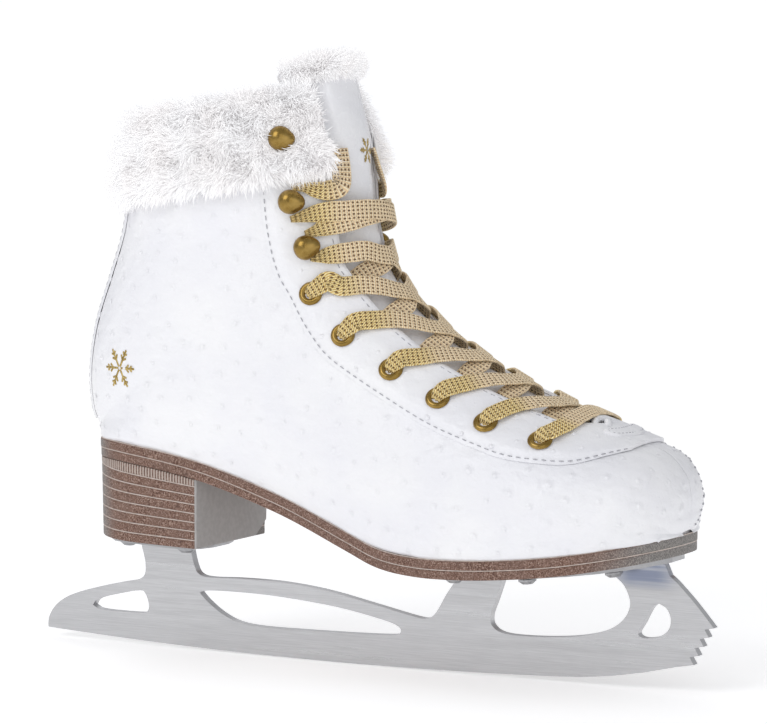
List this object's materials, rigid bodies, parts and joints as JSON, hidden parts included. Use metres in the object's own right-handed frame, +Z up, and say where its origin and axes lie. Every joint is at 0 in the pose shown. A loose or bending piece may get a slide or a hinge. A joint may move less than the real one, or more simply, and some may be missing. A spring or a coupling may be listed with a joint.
{
  "type": "figure skate",
  "caption": "Right-foot figure skate: laced white boot with a fur collar and a tilting tongue, a stacked sole and heel, and a screwed-on blade with toe picks.",
  "frame": {"origin": "on the ice plane, under the middle of the blade's length and in the blade's mid-plane", "axes": "+X towards the toe, +Y to the wearer's left, +Z up"},
  "size_m": [0.298, 0.0908, 0.242],
  "materials": {
    "white_leather": "satin, lightly pebbled",
    "white_fur": "long soft pile",
    "fleece": "short pile",
    "sole_board": "speckled layers",
    "fibre_board": "matt",
    "steel": "brushed",
    "old_brass": "antiqued",
    "gold_lace": "flat weave"
  },
  "bodies": {
    "boot": {"back_stay": "white_leather", "blade": "steel", "footbed": "fleece", "fur_collar": "white_fur", "heel": "sole_board", "heel_counter": "fibre_board", "heel_plate": "steel", "heel_screw_1_left": "steel", "heel_screw_1_right": "steel", "heel_screw_2_left": "steel", "heel_screw_2_right": "steel", "insole_board": "fibre_board", "lace_bar": "gold_lace", "lace_crossing_1": "gold_lace", "lace_crossing_2": "gold_lace", "lace_crossing_3": "gold_lace", "lace_crossing_4": "gold_lace", "lace_crossing_5": "gold_lace", "lace_crossing_6": "gold_lace", "lace_crossing_7": "gold_lace", "left_eyelet_1": "old_brass", "left_eyelet_2": "old_brass", "left_eyelet_3": "old_brass", "left_eyelet_4": "old_brass", "left_eyelet_5": "old_brass", "left_eyelet_6": "old_brass", "left_facing": "white_leather", "left_hook_1": "old_brass", "left_hook_2": "old_brass", "left_hook_3": "old_brass", "left_lace_end": "gold_lace", "left_lining": "fleece", "left_side_panel": "white_leather", "midsole": "sole_board", "outsole": "sole_board", "right_eyelet_1": "old_brass", "right_eyelet_2": "old_brass", "right_eyelet_3": "old_brass", "right_eyelet_4": "old_brass", "right_eyelet_5": "old_brass", "right_eyelet_6": "old_brass", "right_facing": "white_leather", "right_hook_1": "old_brass", "right_hook_2": "old_brass", "right_hook_3": "old_brass", "right_lace_end": "gold_lace", "right_lining": "fleece", "right_side_panel": "white_leather", "throat_tab": "white_leather", "toe_plate": "steel", "toe_puff": "fibre_board", "toe_screw_1_left": "steel", "toe_screw_1_right": "steel", "toe_screw_2_left": "steel", "toe_screw_2_right": "steel", "toe_screw_3_left": "steel", "toe_screw_3_right": "steel"},
    "tongue": {"tongue": "white_leather", "tongue_fur": "white_fur"}
  },
  "joints": [
    {"name": "tongue_tilt", "type": "hinge", "parent": "boot", "child": "tongue", "pos_m": [0.09969, 0, 0.09124], "axis": [0, 1, 0], "range_deg": [-12, 0]}
  ]
}
